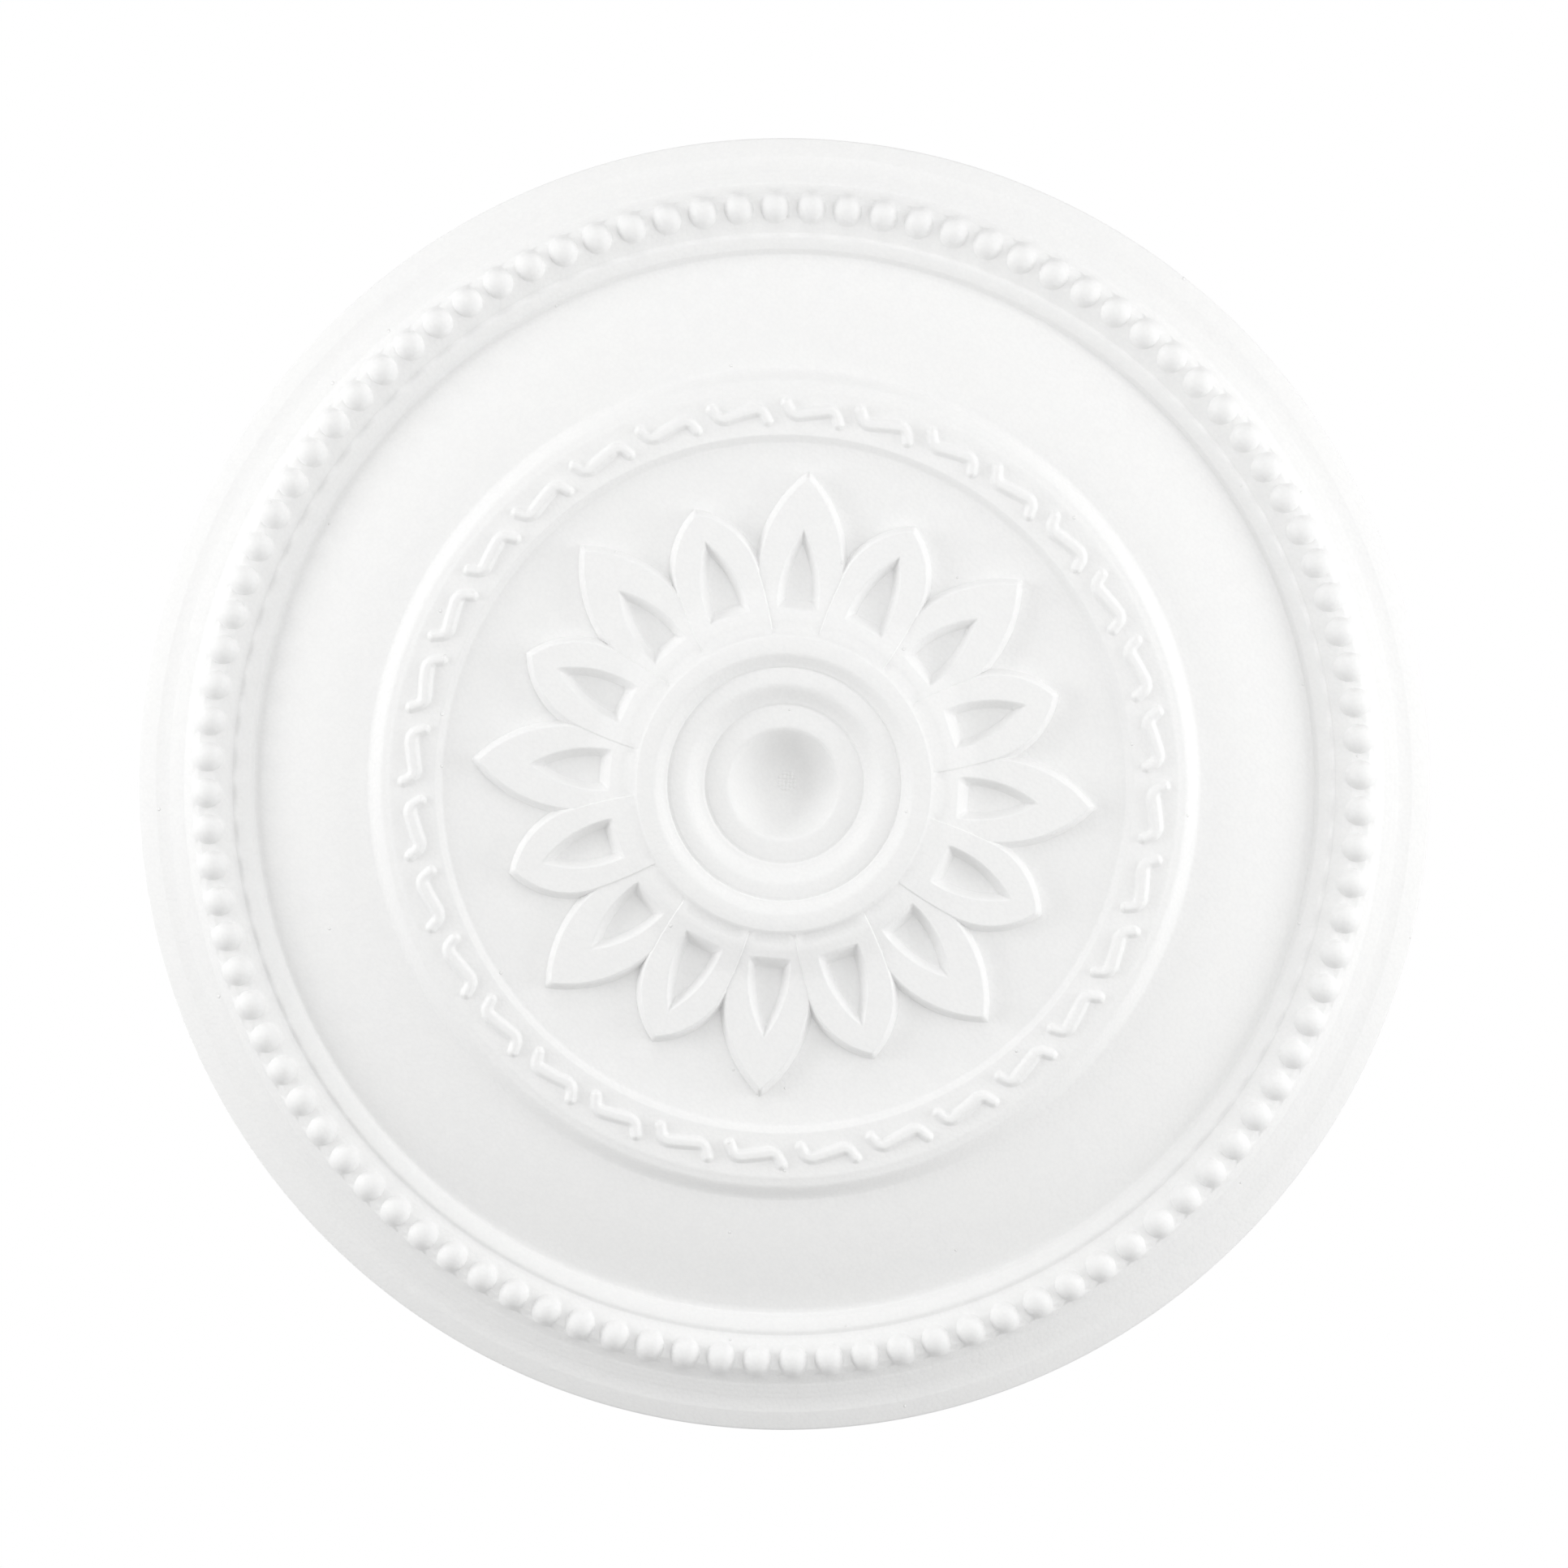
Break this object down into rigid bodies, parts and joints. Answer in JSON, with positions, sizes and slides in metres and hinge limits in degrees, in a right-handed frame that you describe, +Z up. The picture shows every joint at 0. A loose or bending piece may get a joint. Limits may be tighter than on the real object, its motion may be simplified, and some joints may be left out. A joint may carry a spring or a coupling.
{
  "type": "ceiling rose",
  "caption": "Round moulded foam ceiling rose with a bead ring, a smooth dome, a scroll border, a ring of pointed petals and a dished centre; fixed by its flat back, carved face down.",
  "frame": {"origin": "centre of the flat back, where it meets the ceiling", "axes": "+Z is up into the ceiling, the carved face looks down along -Z; +X is to the right and +Y to the bottom of the face as it is seen from below with its first long petal at the top"},
  "size_m": [0.5, 0.5, 0.0395],
  "materials": {
    "foam": "unpainted white moulded foam, matt, with a fine bead grain"
  },
  "bodies": {
    "root": {"ceiling_rose": "foam"}
  },
  "joints": []
}
